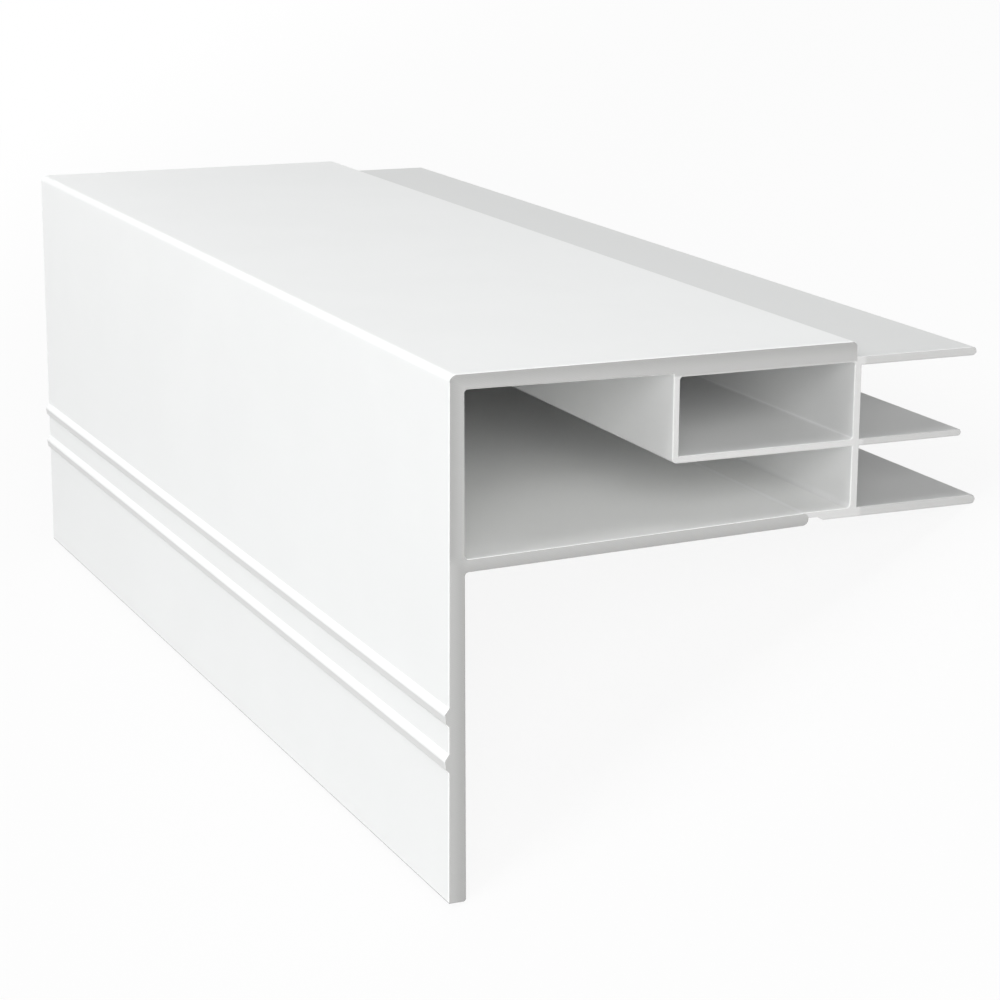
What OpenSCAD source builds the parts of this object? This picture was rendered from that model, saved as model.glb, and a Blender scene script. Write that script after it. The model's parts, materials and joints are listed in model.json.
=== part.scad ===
// F-section edge trim for multiwall roof sheets, one extrusion.
// The section is drawn upright, with x from the outer face of the face plate
// and y down from the top surface, and is extruded along Y. It is then leant
// over by as much as an unheld length leans on a level floor, where it rests
// on the foot of the face plate and on the tip of the bottom prong.

/* [Length] */
// Length of the cut piece
trim_length = 263; // [50:1:3000]

/* [Face plate] */
// Height of the face plate, from the top surface to its foot
face_h = 92.9; // [81:0.1:120]
// Thickness of the face plate at the top
face_t = 2.75; // [2:0.05:4]
// Thickness of the face plate at its foot
foot_t = 3.3; // [2:0.05:4]
// Depth of the upper bead's top edge below the top surface
bead_top = 57.4; // [45:0.1:65]
// Distance from the upper bead to the lower one
bead_pitch = 8.2; // [5:0.1:10]
// Height of one bead
bead_h = 3.5; // [3:0.1:4.5]
// How far a bead stands out of the face
bead_out = 0.8; // [0.65:0.05:1.1]
// Radius of a bead's two long edges
bead_r = 0.6; // [0.2:0.05:0.9]
// Slope of a bead's front in degrees, running back to the face below
bead_slope = 8; // [0:1:12]
// Radius of the outer edge at the foot of the face plate
arris_r = 0.3; // [0.1:0.05:0.6]

/* [Top plate] */
// Width of the top plate, from the outer face to its round end
top_w = 77.3; // [70:0.1:77.5]
// Thickness of the top plate beside the face plate
top_t = 2.7; // [2:0.05:2.75]
// Thickness of the top plate beside the box chamber
top_box_t = 3.1; // [2.8:0.05:3.5]

/* [Leg] */
// Width of the leg, from the outer face to its round tip
leg_w = 68.6; // [60:0.1:70]
// Thickness of the leg
leg_t = 2.3; // [1.5:0.1:2.5]
// Slope of the leg in degrees, rising towards its tip
leg_slope = 1.45; // [0:0.05:2]

/* [Box chamber and web] */
// Distance from the outer face to the left side of the box wall
box_x = 41.4; // [30:0.1:50]
// Thickness of the box wall
box_wall_t = 1.2; // [0.8:0.1:2]
// Thickness of the top over the box chamber
ceiling_t = 3.7; // [3.6:0.05:4.2]
// Distance from the outer face to the right side of the web
web_x = 78.3; // [78:0.1:90]
// Thickness of the web
web_t = 1.4; // [0.8:0.1:2]

/* [Sheet channels] */
// Clear height between the top and bottom prongs
sheet_gap = 25.7; // [24:0.1:28]
// Clear height between the middle and bottom prongs
lower_gap = 11.2; // [10:0.1:12]
// Depth of the top prong's upper side below the top surface
prong_drop = 2.75; // [2:0.05:3]
// Reach of the top prong past the web
top_prong_w = 23.6; // [15:0.1:35]
// Thickness of the top prong
top_prong_t = 1.55; // [1.2:0.05:2]
// Reach of the middle prong past the web
mid_prong_w = 21.1; // [15:0.1:35]
// Thickness of the middle prong and the box floor
mid_prong_t = 1.25; // [1:0.05:2]
// Reach of the bottom prong past the web
low_prong_w = 24.7; // [20:0.1:35]
// Thickness of the bottom prong
low_prong_t = 1.7; // [1.4:0.05:2]

/* [Floor tab] */
// Thickness of the tab that joins the leg to the bottom prong
tab_t = 1.1; // [0.6:0.1:1.3]
// Clear width of the notch under the tab, beside the leg's tip
notch_w = 1.7; // [0.5:0.1:3]
// Width of the slope where the notch runs out
notch_slope_w = 1.25; // [0.2:0.05:2]

/* [Corners] */
// Radius of the long outer corner between the face and the top
crown_r = 1.35; // [0.5:0.05:2]
// Radius of the upper corner at the top plate's right end
end_r = 1; // [0.3:0.1:1.8]
// Radius of the inner corner at the foot of the face plate
foot_r = 0.6; // [0.2:0.1:1]
// Radius of the inner corners of the thick walls
thick_fillet_r = 0.65; // [0.2:0.05:1.5]
// Radius of the inner corners of the box chamber
box_fillet_r = 0.6; // [0.2:0.1:0.8]
// Radius of the box chamber's outer corner
box_corner_r = 0.9; // [0.2:0.1:1]
// Radius of the inner corner where the web meets the floor tab
web_fillet_r = 0.95; // [0.2:0.05:1.5]

/* [Hidden] */
$fn = 48;

// How far a part is sunk into its neighbour so that the two fuse
sink = 0.02;

// How far a rounding's circle runs past the straight sides that it joins
graze = 0.001;

// Levels of the thin-walled part, all measured up from the top surface
top_prong_y = -prong_drop;
low_prong_y = top_prong_y - top_prong_t - sheet_gap;
mid_prong_y = low_prong_y + lower_gap + mid_prong_t;
web_left_x = web_x - web_t;

// Heights of a bead's top and foot, up to the centres of its edges
bead_top_h = 1.35;
bead_foot_h = 0.95;

// Centre of the face plate's round inner corner at its foot
foot_x = foot_t - foot_r;
foot_y = -face_h + foot_r;

// Taper of the face plate, and slope of the top's underside beside it
face_turn = atan((foot_t - face_t) / (-foot_y - top_t));
under_turn = atan((top_box_t - top_t) / (box_x + box_wall_t / 2 - face_t));

// The leg's tip lies just under the top of the tab
tab_lip = 0.1;
leg_r = leg_t / 2;
leg_tip_x = leg_w - leg_r;
leg_tip_y = low_prong_y - tab_lip - leg_r;
leg_root_x = face_t / 2;
leg_len = (leg_tip_x - leg_root_x) / cos(leg_slope);

// Point where the leg's upper (side 1) or lower side (side -1) meets the
// inner side of the face plate
function leg_corner(side) =
    let (
        x = leg_tip_x - side * leg_r * sin(leg_slope),
        y = leg_tip_y + side * leg_r * cos(leg_slope),
        gap = x - face_t + (y + top_t) * tan(face_turn),
        run = gap / (1 + tan(leg_slope) * tan(face_turn)))
    [x - run, y - run * tan(leg_slope)];

// Point where a line from p touches the circle of radius r about c,
// on the left (side -1) or right (side 1) as seen from c towards p
function touch_point(p, c, r, side) =
    let (turn = atan2(p[1] - c[1], p[0] - c[0]) - side * acos(r / norm(p - c)))
    [c[0] + r * cos(turn), c[1] + r * sin(turn)];

// Lean of the piece as it lies: the line that touches the foot's round
// corner and the bottom prong's round tip is level
tip_r = low_prong_t / 2;
tip_x = web_x + low_prong_w - tip_r;
tip_y = low_prong_y - tip_r;
support_span = norm([tip_x - foot_x, tip_y - foot_y]);
lean = atan2(tip_y - foot_y, tip_x - foot_x)
    - asin((tip_r - foot_r) / support_span);

// Place of the leant section: its lowest line on the floor, its width centred
top_tip_r = top_prong_t / 2;
right_x = (web_x + top_prong_w - top_tip_r) * cos(lean)
    + (top_prong_y - top_tip_r) * sin(lean) + top_tip_r;
left_x = arris_r * cos(lean) - (face_h - arris_r) * sin(lean) - arris_r;
floor_z = -foot_x * sin(lean) + foot_y * cos(lean) - foot_r;

// Flat strip with a round right-hand end, its top left corner at the origin
module blade(w, t) {
    translate([0, -t]) square([w - t / 2, t]);
    translate([w - t / 2, -t / 2]) circle(d = t);
}

// Material that rounds the inner corner at p between two sides that leave it
// at the angles start and end, the second counterclockwise of the first
module inner_corner(p, r, start, end = undef) {
    half = is_undef(end) ? 45 : (end - start) / 2;
    middle = [cos(start + half), sin(start + half)];
    reach = r / tan(half);
    centre = p + (r - graze) / sin(half) * middle;
    difference() {
        polygon([
            p - sink * middle,
            p + reach * [cos(start), sin(start)],
            centre,
            p + reach * [cos(start + 2 * half), sin(start + 2 * half)]]);
        translate(centre) circle(r);
    }
}

// Drip bead: a slope that runs out from the face, a round edge, a front that
// runs back a little, and a round edge over the foot, its top edge at the origin
module bead() {
    upper = [bead_r - bead_out, -bead_top_h];
    front_h = bead_h - bead_top_h - bead_foot_h;
    lower = upper + front_h * [tan(bead_slope), -1];
    foot = [0, -bead_h];
    touch_r = bead_r - graze;
    front = -touch_r * [cos(bead_slope), sin(bead_slope)];
    for (c = [upper, lower]) translate(c) circle(bead_r);
    polygon([
        [0, 0],
        touch_point([0, 0], upper, touch_r, -1),
        upper + front,
        lower + front,
        touch_point(foot, lower, touch_r, 1),
        foot,
        [bead_r, -bead_h],
        [bead_r, 0]]);
}

// Face plate and top plate, which turn the long outer corner as one wall
module angle_wall() {
    polygon([
        [0, -crown_r],
        [0, arris_r - face_h],
        [arris_r, -face_h],
        [foot_x, -face_h],
        [foot_t, foot_y],
        [face_t, -top_t],
        [box_x + box_wall_t / 2, -top_box_t],
        [top_w, -top_box_t],
        [top_w, -end_r],
        [top_w - end_r, 0],
        [crown_r, 0]]);
    translate([foot_x, foot_y]) circle(foot_r);
    translate([arris_r, arris_r - face_h]) circle(arris_r);
    translate([crown_r, -crown_r]) circle(crown_r);
    translate([top_w - end_r, -end_r]) circle(end_r);
    inner_corner([face_t, -top_t], thick_fillet_r, 270 + face_turn, 360 - under_turn);
    for (i = [0, 1])
        translate([0, -bead_top - i * bead_pitch]) bead();
}

module leg() {
    translate([leg_tip_x, leg_tip_y]) {
        circle(leg_r);
        rotate(leg_slope) translate([-leg_len, -leg_r]) square([leg_len, leg_t]);
    }
    inner_corner(leg_corner(1), thick_fillet_r, leg_slope, 90 + face_turn);
    inner_corner(leg_corner(-1), thick_fillet_r, 270 + face_turn, 360 + leg_slope);
}

// Box wall, box floor, thick ceiling and the web below them
module box_chamber() {
    floor_y = mid_prong_y - mid_prong_t;
    inner_x = box_x + box_wall_t;
    translate([box_x, -ceiling_t])
        square([web_left_x + sink - box_x, ceiling_t - top_t]);
    difference() {
        translate([box_x, floor_y]) square([web_x - box_x, -ceiling_t - floor_y]);
        translate([inner_x, mid_prong_y])
            square([web_left_x - inner_x, -ceiling_t - mid_prong_y]);
        inner_corner([box_x, floor_y], box_corner_r, 0);
    }
    inner_corner([inner_x, -ceiling_t], box_fillet_r, 270);
    inner_corner([web_left_x, -ceiling_t], box_fillet_r, 180);
    inner_corner([web_left_x, mid_prong_y], box_fillet_r, 90);
    translate([web_left_x, low_prong_y]) square([web_t, floor_y - low_prong_y]);
}

// Three prongs that hold the sheets, on the right of the web
module prongs() {
    translate([web_left_x, top_prong_y]) blade(web_t + top_prong_w, top_prong_t);
    translate([web_left_x, mid_prong_y]) blade(web_t + mid_prong_w, mid_prong_t);
    translate([web_left_x, low_prong_y]) blade(web_t + low_prong_w, low_prong_t);
}

// Bottom prong's part on the left of the web, with the notched tab to the leg
module floor_tab() {
    notch_x = leg_w + notch_w;
    web_mid_x = web_left_x + web_t / 2;
    polygon([
        [web_mid_x, low_prong_y - low_prong_t],
        [web_mid_x, low_prong_y],
        [leg_tip_x, low_prong_y],
        [leg_tip_x - leg_r, low_prong_y - leg_r],
        [leg_tip_x - leg_r, low_prong_y - tab_t],
        [notch_x, low_prong_y - tab_t],
        [notch_x + notch_slope_w, low_prong_y - low_prong_t]]);
    inner_corner([web_left_x, low_prong_y], web_fillet_r, 90);
}

module section() {
    angle_wall();
    leg();
    box_chamber();
    prongs();
    floor_tab();
}

module f_section_trim() {
    color("whitesmoke")
        translate([-(left_x + right_x) / 2, 0, -floor_z])
            rotate([0, lean, 0])
                translate([0, trim_length / 2, 0]) rotate([90, 0, 0])
                    linear_extrude(trim_length) section();
}

f_section_trim();
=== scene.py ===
"""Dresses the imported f-section trim and sets it on a white studio floor."""

import json
import logging
import math
from collections.abc import Callable
from dataclasses import dataclass
from enum import Enum
from typing import Any

import bmesh
import bpy
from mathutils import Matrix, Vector

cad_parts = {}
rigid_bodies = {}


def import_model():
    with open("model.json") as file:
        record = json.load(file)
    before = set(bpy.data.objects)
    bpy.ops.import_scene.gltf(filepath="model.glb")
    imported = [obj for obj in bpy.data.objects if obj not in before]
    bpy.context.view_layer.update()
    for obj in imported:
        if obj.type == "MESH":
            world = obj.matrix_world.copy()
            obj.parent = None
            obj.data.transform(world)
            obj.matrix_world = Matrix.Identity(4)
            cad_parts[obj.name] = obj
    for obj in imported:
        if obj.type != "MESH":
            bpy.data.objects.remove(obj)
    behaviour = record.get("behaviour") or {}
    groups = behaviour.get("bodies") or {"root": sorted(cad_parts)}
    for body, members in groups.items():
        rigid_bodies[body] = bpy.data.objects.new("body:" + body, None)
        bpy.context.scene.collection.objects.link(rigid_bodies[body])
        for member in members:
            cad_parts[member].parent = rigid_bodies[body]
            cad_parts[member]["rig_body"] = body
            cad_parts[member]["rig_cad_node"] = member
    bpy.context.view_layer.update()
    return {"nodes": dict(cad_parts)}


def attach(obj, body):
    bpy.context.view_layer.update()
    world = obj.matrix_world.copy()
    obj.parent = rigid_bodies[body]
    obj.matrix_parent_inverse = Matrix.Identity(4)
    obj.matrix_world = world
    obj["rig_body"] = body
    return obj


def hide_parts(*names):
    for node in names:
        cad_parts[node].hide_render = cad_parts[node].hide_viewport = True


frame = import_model()

log = logging.getLogger("f_section_trim")

MM = 0.001
NODE = "f_section_trim"
WHITE = (1.0, 1.0, 1.0, 1.0)
Color = tuple[float, float, float]
Point = tuple[float, float, float]
Span = tuple[float, float]


class Zone(Enum):
    """The surfaces of the trim that get their own colour. The skin's white is the trim's own; the
    other zones' colours are painted shade and painted light set by place, and the sawn ends hold
    painted shading too. The real trim is one white.
    """

    SKIN = 0
    BEAD_FRONT = 1
    FOOT_EDGE = 2
    THICK_WALL = 3
    THIN_WALL = 4
    BOX = 5
    PRONG = 6
    CHANNEL = 7
    FLOOR_TAB = 8
    CUT = 9


class Wire:
    """A shader socket that takes part in Python arithmetic."""

    def __init__(self, recipe: "Recipe", socket: bpy.types.NodeSocket | None) -> None:
        """Keeps the output socket and the recipe that it belongs to."""
        self.recipe = recipe
        self.socket = socket

    def _math(self, operation: str, *values: "Wire | float") -> "Wire":
        """Adds one Math node on the given values."""
        return self.recipe.node("ShaderNodeMath", {"operation": operation}, *values)

    def __add__(self, other: "Wire | float") -> "Wire":
        """Sum."""
        return self._math("ADD", self, other)

    def __sub__(self, other: "Wire | float") -> "Wire":
        """Difference."""
        return self._math("SUBTRACT", self, other)

    def __rsub__(self, other: "Wire | float") -> "Wire":
        """Difference with this socket on the right."""
        return self._math("SUBTRACT", other, self)

    def __mul__(self, other: "Wire | float") -> "Wire":
        """Product."""
        return self._math("MULTIPLY", self, other)

    __radd__ = __add__
    __rmul__ = __mul__

    def most(self, other: "Wire | float") -> "Wire":
        """The larger of the two values."""
        return self._math("MAXIMUM", self, other)

    def ramp(self, low: float, high: float, start: float = 0.0, end: float = 1.0) -> "Wire":
        """Maps low..high smoothly to start..end.

        Args:
            low: Value at which the result is start.
            high: Value at which the result is end.
            start: Result at low and below.
            end: Result at high and above.

        Returns:
            The mapped value.
        """
        settings = {"interpolation_type": "SMOOTHSTEP"}
        return self.recipe.node("ShaderNodeMapRange", settings, self, low, high, start, end)

    def section_axes(self) -> list["Wire"]:
        """Section x and z of a place in the section's own axes."""
        return [self.recipe.node("ShaderNodeSeparateXYZ", None, self, out=axis) for axis in "XZ"]


class Recipe:
    """The nodes of one procedural material or of the world."""

    def __init__(self, owner: bpy.types.Material | bpy.types.World) -> None:
        """Empties the node tree.

        Args:
            owner: The material or world whose nodes these are.
        """
        owner.use_nodes = True
        self.owner = owner
        self.tree = owner.node_tree
        self.tree.nodes.clear()

    @staticmethod
    def _socket(sockets: bpy.types.bpy_prop_collection, key: str | int) -> bpy.types.NodeSocket:
        """Finds a socket of a node.

        Args:
            sockets: The node's inputs or outputs.
            key: The socket's index, its identifier, or its name with _ standing for a space.

        Returns:
            The socket.
        """
        if isinstance(key, int):
            return sockets[key]
        known = {socket.identifier: socket for socket in sockets}
        return known[key] if key in known else sockets[key.replace("_", " ")]

    def node(self, kind: str, settings: dict[str, Any] | None = None, *values: Any,
             out: str | int = 0, **sockets: Any) -> Wire:
        """Adds a node of any kind.

        Args:
            kind: Blender's name of the node type.
            settings: Settings of the node itself, which are made first.
            values: Values or wires of its first input sockets, in order.
            out: Index, identifier or name of the output that is returned.
            sockets: Values or wires of input sockets by their identifiers or names.

        Returns:
            The chosen output, or an empty wire for a node that has none.
        """
        made = self.tree.nodes.new(kind)
        for key, value in (settings or {}).items():
            setattr(made, key, value)
        for key, value in [*enumerate(values), *sockets.items()]:
            socket = self._socket(made.inputs, key)
            if isinstance(value, Wire):
                self.tree.links.new(value.socket, socket)
            else:
                socket.default_value = value
        return Wire(self, self._socket(made.outputs, out) if len(made.outputs) else None)

    def blend(self, share: Wire, low: Color | Wire, high: Color | Wire) -> Wire:
        """Mixes two colours.

        Args:
            share: How much of high there is, from 0 to 1.
            low: Linear colour at share 0, plain or varying.
            high: Linear colour at share 1, plain or varying.

        Returns:
            The mixed colour.
        """
        ends = [color if isinstance(color, Wire) else (*color, 1.0) for color in (low, high)]
        return self.node("ShaderNodeMix", {"data_type": "RGBA"}, share,
                         A_Color=ends[0], B_Color=ends[1], out="Result_Color")

    def finish(self, surface: Wire) -> bpy.types.Material:
        """Leads a shader to the material output and returns the material."""
        self.node("ShaderNodeOutputMaterial", None, surface)
        return self.owner


@dataclass(frozen=True)
class SectionFrame:
    """The section's own axes, in which it stands upright.

    x runs inwards from the face plate's outer face and z up from the top surface, in millimetres.
    The lean, in degrees, and the axes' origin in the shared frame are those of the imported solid.
    """

    lean: float = 31.5893
    x: float = -18.2592
    z: float = 80.6377

    def wire(self, recipe: Recipe) -> Wire:
        """Turns Object coordinates back to the upright section.

        Args:
            recipe: The material's nodes.

        Returns:
            The point's place in the section's own axes, in millimetres.
        """
        at = recipe.node("ShaderNodeTexCoord", out="Object")
        turn = math.radians(-self.lean)
        shift_x = -(self.x * math.cos(turn) + self.z * math.sin(turn))
        shift_z = -(-self.x * math.sin(turn) + self.z * math.cos(turn))
        return recipe.node("ShaderNodeMapping", {"vector_type": "POINT"}, Vector=at,
                           Location=(shift_x, 0.0, shift_z), Rotation=(0.0, turn, 0.0),
                           Scale=(1.0 / MM, 1.0 / MM, 1.0 / MM))

    def place(self, point: Vector) -> tuple[float, float]:
        """Turns a point back to the upright section.

        Args:
            point: The point in the shared frame, in metres.

        Returns:
            Its section x and z in millimetres.
        """
        turn = math.radians(self.lean)
        x, z = point.x / MM - self.x, point.z / MM - self.z
        return (x * math.cos(turn) - z * math.sin(turn), x * math.sin(turn) + z * math.cos(turn))


@dataclass(frozen=True)
class ExtrudedToneWithPaintedShade:
    """An extruded surface, faintly clouded and streaked along the length. Its colour is the trim's
    own white on the skin, and painted shade and painted light in the other zones.

    The corner is the section x and z of an inner corner along which a pale line is painted as a
    highlight, if any.
    """

    name: str
    color: Color
    roughness: float
    gloss: float = 0.3
    roughness_spread: float = 0.03
    streak_share: float = 0.1
    streak_stretch: float = 0.004
    streak_scale: float = 0.55
    cloud_scale: float = 0.035
    cloud_range: Span = (0.3, 0.7)
    cloud_depth: float = 0.012
    corner: tuple[float, float] | None = None
    # colour of the pale corner line: a painted highlight
    corner_color: Color = (0.99, 0.995, 0.99)
    corner_reach: float = 0.5
    corner_core: float = 0.3

    def material(self, section: SectionFrame) -> bpy.types.Material:
        """Makes the surface's material, with its painted shade and painted highlight where the
        zone has them.

        Args:
            section: The section's own axes, across which the streaks lie.

        Returns:
            The material.
        """
        recipe = Recipe(bpy.data.materials.new(self.name))
        at = section.wire(recipe)
        stretched = recipe.node("ShaderNodeMapping", None, Vector=at,
                                Scale=(1.0, self.streak_stretch, 1.0))
        streaks = recipe.node("ShaderNodeTexNoise", None, Vector=stretched,
                              Scale=self.streak_scale, Detail=1.5, Roughness=0.5)
        cloud = recipe.node("ShaderNodeTexNoise", None, Vector=at, Scale=self.cloud_scale,
                            Detail=2.0)
        mixed = streaks * self.streak_share + cloud * (1.0 - self.streak_share)
        tone = mixed.ramp(*self.cloud_range)
        rough = tone * self.roughness_spread + (self.roughness - 0.5 * self.roughness_spread)
        shade = tuple(c - self.cloud_depth for c in self.color)
        color = recipe.blend(tone, shade, self.color)
        if self.corner:
            # a pale line painted along the inner corner as a highlight
            color = recipe.blend(self.corner_line(at), color, self.corner_color)
        return recipe.finish(recipe.node(
            "ShaderNodeBsdfPrincipled", None, Base_Color=color,
            Roughness=rough, IOR=1.5, Specular_IOR_Level=self.gloss))

    def corner_line(self, at: Wire) -> Wire:
        """How far a point is on the painted highlight along the inner corner.

        Args:
            at: The point's place in the section, in millimetres.

        Returns:
            1 on the line and 0 off it.
        """
        off = [axis - middle for axis, middle in zip(at.section_axes(), self.corner)]
        away = off[0] * off[0] + off[1] * off[1]
        return 1.0 - away.ramp(self.corner_core * self.corner_reach ** 2, self.corner_reach ** 2)


@dataclass(frozen=True)
class SawnEndWithPaintedShading:
    """A sawn end: the thick walls' grey end, with painted shading that lightens across the walls
    and up the leg's end, and the paler thin walls.

    The spans say where in the section one tone passes into the next, in millimetres. leg_edge
    is in square millimetres from the leg's middle line.
    """

    name: str
    core: Color
    # the light end of the thick walls' painted shading
    core_light: Color
    thin: Color
    prong: Color
    roughness: float
    mark_depth: float
    dust: float = 0.95
    roughness_spread: float = 0.1
    saw_shift: Point = (90.0, 0.0, 210.0)
    saw_scale: float = 0.9
    saw_share: float = 0.4
    grain_scale: float = 3.0
    tone_range: Span = (0.25, 0.75)
    tone_share: float = 0.2
    plate_inside: Span = (3.6, 4.2)
    plate_depth: Span = (0.2, 2.8)
    top_inside: Span = (3.3, 3.7)
    top_depth: Span = (-2.6, -0.2)
    top_end: Span = (77.1, 77.4)
    prong_start: Span = (78.6, 79.4)
    skirt_start: Span = (-33.0, -30.5)
    leg_tip: tuple[float, float] = (67.45, -31.25)
    leg_slope: float = 1.45
    leg_edge: Span = (1.1, 1.4)
    leg_root: Span = (1.2, 3.6)
    leg_height: Span = (-1.3, 0.9)

    def leg(self, x: Wire, z: Wire) -> tuple[Wire, Wire]:
        """How far a point is on the end of the leg, whose tip is round, and how high on it.

        Args:
            x: The point's section x in millimetres.
            z: The point's section z in millimetres.

        Returns:
            1 on the leg and 0 off it, and 0 at the leg's underside to 1 at its top.
        """
        slope = math.radians(self.leg_slope)
        dx, dz = x - self.leg_tip[0], z - self.leg_tip[1]
        past = (dx * math.cos(slope) + dz * math.sin(slope)).most(0.0)
        off = dz * math.cos(slope) - dx * math.sin(slope)
        within = 1.0 - (past * past + off * off).ramp(*self.leg_edge)
        return within * x.ramp(*self.leg_root), off.ramp(*self.leg_height)

    def light_share(self, x: Wire, z: Wire) -> Wire:
        """How much painted light the thick walls' end gets.

        This painted shading lightens from the outer to the inner side, the other way below the
        leg, and towards the top of the leg's end as a painted highlight.

        Args:
            x: The point's section x in millimetres.
            z: The point's section z in millimetres.

        Returns:
            0 where the painted shade is darkest and 1 where the painted light is strongest.
        """
        near_skin = (1.0 - x.ramp(*self.plate_depth)).most(z.ramp(*self.top_depth))
        depth = 1.0 - near_skin
        skirt = 1.0 - z.ramp(*self.skirt_start)
        walls = depth + skirt * (1.0 - depth * 2.0)
        leg, height = self.leg(x, z)
        return walls + leg * (height - walls)

    def material(self, section: SectionFrame) -> bpy.types.Material:
        """Makes the sawn end's material, with its painted shading.

        Args:
            section: The section's own axes, in which the walls are told apart.

        Returns:
            The material.
        """
        recipe = Recipe(bpy.data.materials.new(self.name))
        at = section.wire(recipe)
        x, z = at.section_axes()
        inside = x.ramp(*self.plate_inside)
        below = (z * -1.0).ramp(*self.top_inside).most(x.ramp(*self.top_end))
        leg, _ = self.leg(x, z)
        thin = inside * below * (1.0 - leg)
        saw = recipe.node("ShaderNodeMapping", None, Vector=at, Location=self.saw_shift)
        marks = recipe.node("ShaderNodeTexWave", {"wave_type": "RINGS", "rings_direction": "Y"},
                            Vector=saw, Scale=self.saw_scale, Distortion=1.5, Detail=3.0,
                            Detail_Scale=0.4)
        grain = recipe.node("ShaderNodeTexNoise", None, Vector=at, Scale=self.grain_scale,
                            Detail=5.0)
        mixed = marks * self.saw_share + grain * (1.0 - self.saw_share)
        tone = mixed.ramp(*self.tone_range)
        # painted shading across the thick walls' end, mixed with a random tone
        share = tone * self.tone_share + self.light_share(x, z) * (1.0 - self.tone_share)
        thick = recipe.blend(share, self.core, self.core_light)
        on_prong = x.ramp(*self.prong_start)
        dusty = [recipe.blend(tone, tuple(self.dust * c for c in pale), pale)
                 for pale in (self.thin, self.prong)]
        color = recipe.blend(thin, thick, recipe.blend(on_prong, *dusty))
        rough = tone * self.roughness_spread + (self.roughness - 0.5 * self.roughness_spread)
        relief = recipe.node("ShaderNodeBump", None, Strength=1.0, Distance=self.mark_depth * MM,
                             Height=marks * 0.5 + grain * 0.5)
        return recipe.finish(recipe.node(
            "ShaderNodeBsdfPrincipled", None, Base_Color=color,
            Roughness=rough, Normal=relief, IOR=1.5))


def only(piece: bpy.types.Object) -> None:
    """Deselects everything else and makes one object the active one.

    Args:
        piece: The object to select.
    """
    bpy.ops.object.select_all(action="DESELECT")
    piece.hide_set(False)
    piece.select_set(True)
    bpy.context.view_layer.objects.active = piece


def pick_faces(piece: bpy.types.Object, wanted: Callable[[bmesh.types.BMFace], bool]) -> int:
    """Selects the faces of a mesh in edit mode that a test accepts.

    Args:
        piece: The mesh object, in edit mode.
        wanted: A function that takes a face and says whether it is selected.

    Returns:
        How many faces are selected.
    """
    shape = bmesh.from_edit_mesh(piece.data)
    bpy.ops.mesh.select_all(action="DESELECT")
    chosen = [face for face in shape.faces if wanted(face)]
    for face in chosen:
        face.select_set(True)
    shape.select_flush_mode()
    bmesh.update_edit_mesh(piece.data)
    return len(chosen)


def between(value: float, span: Span) -> bool:
    """Whether a value lies inside a span."""
    return span[0] < value < span[1]


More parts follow.
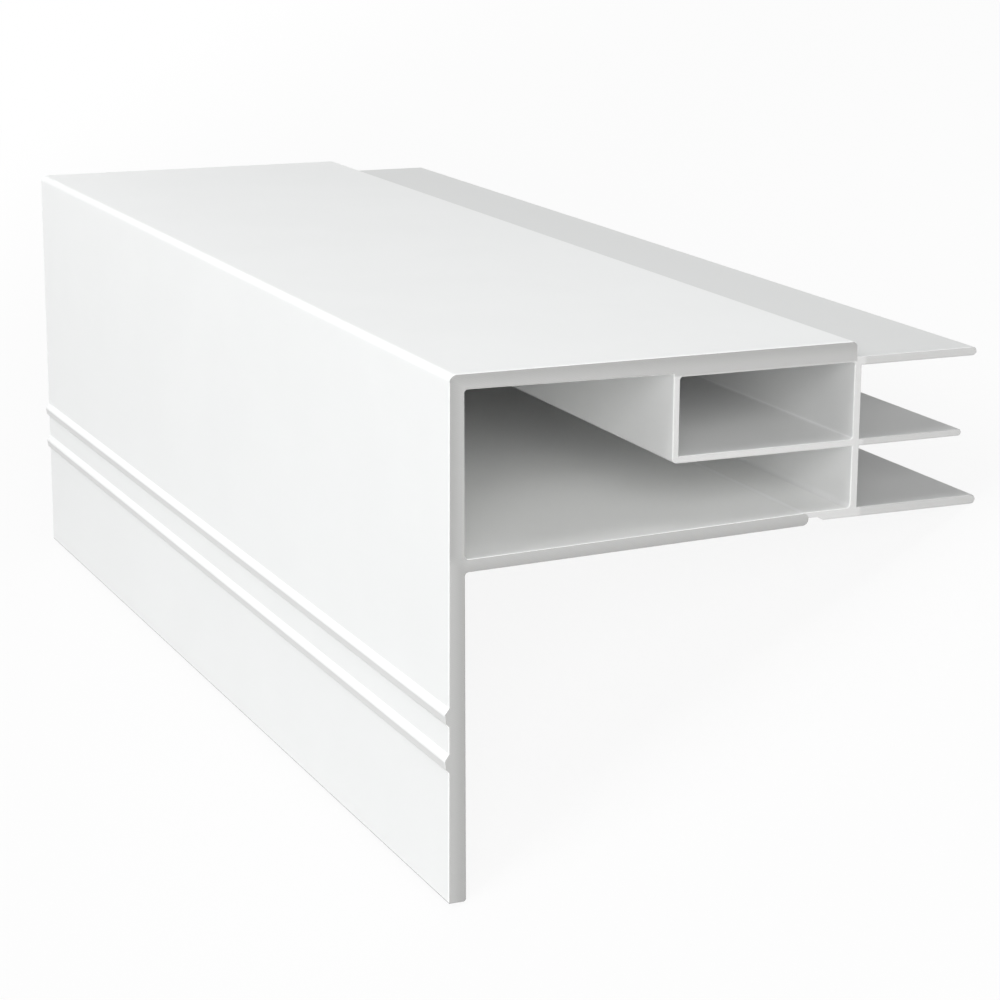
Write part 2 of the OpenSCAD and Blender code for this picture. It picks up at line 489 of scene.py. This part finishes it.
@dataclass
class Trim:
    """The extruded trim, cut to length.

    Lengths are in millimetres and angles in degrees. arris is the rounding of the sawn ends'
    edges, and arris_turn is the share of it that the first of its two steps goes inwards.
    end_lean and cut_lean are how far a normal lies along the trim on a sawn end, without and
    with its rounding. The fields after them tell the zones apart by their place in the section,
    and so say where the zones' painted shade and painted light go.
    """

    section: SectionFrame
    arris: float = 0.22
    arris_turn: float = 0.35
    weld: float = 0.002
    flat_angle: float = 0.5
    smooth_angle: float = 20.0
    end_lean: float = 0.99
    cut_lean: float = 0.7
    # faces in front of the face plate on these spans get the bead fronts' painted shade
    bead_proud: float = -0.4
    bead_fronts: tuple[Span, Span] = ((-60.45, -58.85), (-68.65, -67.05))
    # faces below foot_z and left of foot_x get the foot edge's painted shade, a dark line
    foot_x: float = 0.35
    foot_z: float = -92.62
    plate_skin_x: float = 0.8
    top_skin_x: float = 77.6
    top_skin_z: float = -2.0
    web_outer_x: float = 78.0
    top_prong_z: float = -3.6
    box_x: Span = (42.5, 77.0)
    box_z: Span = (-17.6, -3.6)
    chamber_x: float = 41.0
    floor_z: float = -29.8
    tab_x: Span = (68.65, 76.0)

    def build(self) -> bpy.types.Object:
        """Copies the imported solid, merges it and rounds the edges of its sawn ends.

        Returns:
            The trim's mesh, not yet dressed.
        """
        piece = self.copy_solid()
        bpy.ops.object.mode_set(mode="EDIT")
        bpy.ops.mesh.select_mode(type="FACE")
        bpy.ops.mesh.select_all(action="SELECT")
        bpy.ops.mesh.remove_doubles(threshold=self.weld * MM)
        bpy.ops.mesh.dissolve_limited(angle_limit=math.radians(self.flat_angle))
        for side in (-1.0, 1.0):
            self.round_end(piece, side)
        bpy.ops.object.mode_set(mode="OBJECT")
        bpy.ops.object.shade_smooth_by_angle(angle=math.radians(self.smooth_angle))
        weighted = piece.modifiers.new("even_flats", "WEIGHTED_NORMAL")
        weighted.keep_sharp = True
        weighted.weight = 100
        bpy.ops.object.modifier_apply(modifier=weighted.name)
        return piece

    def copy_solid(self) -> bpy.types.Object:
        """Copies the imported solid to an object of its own.

        Returns:
            The copy, which is the active object.
        """
        only(frame["nodes"][NODE])
        bpy.ops.object.duplicate()
        piece = bpy.context.view_layer.objects.active
        piece.name = piece.data.name = "extruded_trim"
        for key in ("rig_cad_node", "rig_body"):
            if key in piece:
                del piece[key]
        piece.parent = None
        only(piece)
        return piece

    def round_end(self, piece: bpy.types.Object, side: float) -> None:
        """Rounds the edges of one sawn end in two steps.

        Args:
            piece: The trim's mesh, in edit mode.
            side: 1 for the end at +Y and -1 for the end at -Y.
        """
        faces = pick_faces(piece, lambda face: face.normal.y * side > self.end_lean)
        log.info("end %+d: %d faces", side, faces)
        near = self.arris_turn * self.arris * MM
        far = (1.0 - self.arris_turn) * self.arris * MM
        bpy.ops.transform.translate(value=(0.0, -side * self.arris * MM, 0.0))
        bpy.ops.mesh.inset(thickness=near, depth=far, use_even_offset=True)
        bpy.ops.mesh.inset(thickness=far, depth=near, use_even_offset=True)

    def dress(self, piece: bpy.types.Object, zone_materials: dict[Zone, bpy.types.Material]) -> None:
        """Gives each surface its material; in most zones its colour is painted shade and painted
        light.

        Args:
            piece: The trim's mesh.
            zone_materials: The material of each zone.
        """
        piece.data.materials.clear()
        for zone in Zone:
            piece.data.materials.append(zone_materials[zone])
        for face in piece.data.polygons:
            face.material_index = self.zone(face).value
        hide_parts(NODE)
        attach(piece, "root")

    def zone(self, face: bpy.types.MeshPolygon) -> Zone:
        """Tells the zone of a face by its place and normal.

        Args:
            face: A face of the trim's mesh.

        Returns:
            The face's zone.
        """
        if abs(face.normal.y) > self.cut_lean:
            return Zone.CUT
        x, z = self.section.place(face.center)
        on_floor = z < self.floor_z
        # The bead fronts and the foot edge get painted shade; the inner zones below get painted
        # shade and painted light.
        if x < self.bead_proud and any(between(z, front) for front in self.bead_fronts):
            return Zone.BEAD_FRONT
        if x < self.foot_x and z < self.foot_z:
            return Zone.FOOT_EDGE
        if x < self.plate_skin_x or (x < self.top_skin_x and z > self.top_skin_z):
            return Zone.SKIN
        if x > self.web_outer_x:
            return Zone.PRONG if z > self.top_prong_z else Zone.CHANNEL
        if between(x, self.box_x) and between(z, self.box_z):
            return Zone.BOX
        if on_floor and between(x, self.tab_x):
            return Zone.FLOOR_TAB
        if x < self.chamber_x or (on_floor and x < self.tab_x[0]):
            return Zone.THICK_WALL
        return Zone.THIN_WALL


@dataclass(frozen=True)
class Lamp:
    """A square softbox, aimed at the trim."""

    name: str
    at: Point
    power: float
    size: float
    target: Point = (0.0, 0.0, 0.04)

    def hang(self) -> None:
        """Adds the lamp to the scene."""
        data = bpy.data.lights.new(self.name, "AREA")
        data.energy = self.power
        data.size = self.size
        lamp = bpy.data.objects.new(self.name, data)
        lamp.location = self.at
        aim = [t - a for t, a in zip(self.target, self.at)]
        flat = math.hypot(aim[0], aim[1])
        lamp.rotation_euler = (math.atan2(flat, -aim[2]), 0.0,
                               math.atan2(aim[1], aim[0]) - math.pi / 2)
        bpy.context.scene.collection.objects.link(lamp)


@dataclass
class Studio:
    """White floor, white surroundings, soft lamps and the camera."""

    floor_size: float = 12.0
    floor_color: Color = (0.75, 0.75, 0.75)
    floor_glow: float = 0.9
    glow_reach: Span = (0.15, 0.55)
    surround: float = 0.15
    lens: float = 100.5675
    sensor: float = 36.0
    near_clip: float = 0.01
    camera_at: Point = (-0.116642, -0.545686, 0.2499)
    camera_turn: Point = (61.98337, 28.38451, -27.06977)
    lamps: tuple[Lamp, ...] = (
        Lamp("key_softbox", at=(-0.3, 0.02, 1.05), power=4.25, size=0.7),
        Lamp("top_softbox", at=(0.35, -0.12, 1.1), power=3.7, size=0.7),
        Lamp("left_softbox", at=(-1.1, -0.13, 0.5), power=2.2, size=0.7),
        Lamp("high_front_softbox", at=(-0.245, -1.45, 0.67), power=14.7, size=1.0),
        Lamp("front_softbox", at=(0.0, -1.589, 0.231), power=9.0, size=1.0),
        Lamp("back_softbox", at=(0.0, 1.589, 0.231), power=4.2, size=1.0),
    )

    def lay_floor(self) -> None:
        """Adds the floor, which shows white and keeps the trim's shadow."""
        bpy.ops.object.select_all(action="DESELECT")
        bpy.ops.mesh.primitive_plane_add(size=self.floor_size)
        floor = bpy.context.active_object
        floor.name = "studio_floor"
        recipe = Recipe(bpy.data.materials.new("white_floor"))
        paper = recipe.node("ShaderNodeBsdfDiffuse", None, Color=(*self.floor_color, 1.0))
        glow = recipe.node("ShaderNodeEmission", None, Strength=1.0)
        at = recipe.node("ShaderNodeTexCoord", out="Object")
        away = recipe.node("ShaderNodeVectorMath", {"operation": "LENGTH"}, at, out="Value")
        seen = self.seen(recipe) * away.ramp(*self.glow_reach, self.floor_glow, 1.0)
        floor.data.materials.append(
            recipe.finish(recipe.node("ShaderNodeMixShader", None, seen, paper, glow)))

    @staticmethod
    def seen(recipe: Recipe) -> Wire:
        """Tells the rays that see the white background.

        Args:
            recipe: The nodes of the material or world.

        Returns:
            1 for a ray from the camera, a mirror reflection or through glass, else 0.
        """
        rays = [recipe.node("ShaderNodeLightPath", None, out=out)
                for out in ("Is Camera Ray", "Is Glossy Ray", "Is Transmission Ray")]
        return rays[0].most(rays[1]).most(rays[2])

    def light(self) -> None:
        """Sets the white surroundings and hangs the lamps."""
        world = bpy.data.worlds.new("white_studio")
        bpy.context.scene.world = world
        recipe = Recipe(world)
        dim = recipe.node("ShaderNodeBackground", None, Color=WHITE, Strength=self.surround)
        white = recipe.node("ShaderNodeBackground", None, Color=WHITE, Strength=1.0)
        mixed = recipe.node("ShaderNodeMixShader", None, self.seen(recipe), dim, white)
        recipe.node("ShaderNodeOutputWorld", None, mixed)
        for lamp in self.lamps:
            lamp.hang()
        log.info("studio: %d lamps", len(self.lamps))

    def set_camera(self) -> None:
        """Adds the camera at the photograph's viewing angle."""
        data = bpy.data.cameras.new("camera")
        data.lens = self.lens
        data.sensor_width = self.sensor
        data.clip_start = self.near_clip
        camera = bpy.data.objects.new("camera", data)
        camera.location = self.camera_at
        camera.rotation_euler = tuple(math.radians(a) for a in self.camera_turn)
        bpy.context.scene.collection.objects.link(camera)
        bpy.context.scene.camera = camera


# Inner corners along which a pale line is painted as a highlight.
LEG_CORNER = (67.5, -30.0)
BOX_CORNER = (77.15, -17.5)

# Colours of the zones: the skin's white is the trim's own, the others hold painted shade and
# painted light set by place.
ZONE_TONES_WITH_PAINTED_SHADE: dict[Zone, ExtrudedToneWithPaintedShade | SawnEndWithPaintedShading] = {
    Zone.SKIN: ExtrudedToneWithPaintedShade("white_skin", (0.925, 0.935, 0.932), roughness=0.5, gloss=0.12),
    # bead fronts: greyer than the skin as painted shade
    Zone.BEAD_FRONT: ExtrudedToneWithPaintedShade("bead_front", (0.76, 0.765, 0.76), roughness=0.55),
    # foot edge: a dark line of painted shade along the face plate's bottom edge
    Zone.FOOT_EDGE: ExtrudedToneWithPaintedShade("foot_edge", (0.34, 0.345, 0.34), roughness=0.6),
    # thick walls' insides: a little whiter than the skin as painted light, brightening the
    # chamber; their pale corner line is a painted highlight
    Zone.THICK_WALL: ExtrudedToneWithPaintedShade("thick_wall_inside", (0.94, 0.945, 0.935), roughness=0.4,
                                    corner=LEG_CORNER),
    # thin walls: greyer than the skin as painted shade; their pale corner line is a painted
    # highlight
    Zone.THIN_WALL: ExtrudedToneWithPaintedShade("thin_wall", (0.84, 0.845, 0.84), roughness=0.4,
                                   corner=LEG_CORNER),
    # box chamber: greyer still as painted shade; the pale line along its inner corner is a painted
    # highlight
    Zone.BOX: ExtrudedToneWithPaintedShade("box_wall", (0.79, 0.795, 0.79), roughness=0.45,
                             corner=BOX_CORNER),
    # prongs: greyer than the skin as painted shade
    Zone.PRONG: ExtrudedToneWithPaintedShade("prong_side", (0.71, 0.72, 0.715), roughness=0.4),
    # channels between the prongs: darker still as painted shade
    Zone.CHANNEL: ExtrudedToneWithPaintedShade("channel_side", (0.635, 0.64, 0.635), roughness=0.45),
    # floor tab: lighter than the thin walls as painted light, lifting the strip under the box; its
    # pale corner line is a painted highlight
    Zone.FLOOR_TAB: ExtrudedToneWithPaintedShade("floor_tab", (0.91, 0.915, 0.905), roughness=0.4,
                                   corner=LEG_CORNER),
    # sawn ends: the thick walls' grey with painted shading across it, the paler thin walls, and
    # the prong ends
    Zone.CUT: SawnEndWithPaintedShading("sawn_end", core=(0.315, 0.315, 0.31), core_light=(0.39, 0.39, 0.385),
                         thin=(0.55, 0.55, 0.545), prong=(0.47, 0.47, 0.465), roughness=0.55,
                         mark_depth=0.008),
}


def main() -> None:
    """Builds the studio and the dressed trim."""
    logging.basicConfig(level=logging.INFO, format="%(name)s: %(message)s")
    bpy.context.scene.view_settings.view_transform = "Standard"
    studio = Studio()
    studio.set_camera()
    studio.lay_floor()
    studio.light()
    section = SectionFrame()
    trim = Trim(section)
    piece = trim.build()
    trim.dress(piece, {zone: finish.material(section) for zone, finish in ZONE_TONES_WITH_PAINTED_SHADE.items()})
    log.info("%s: %d faces", piece.name, len(piece.data.polygons))


if __name__ == "__main__":
    main()
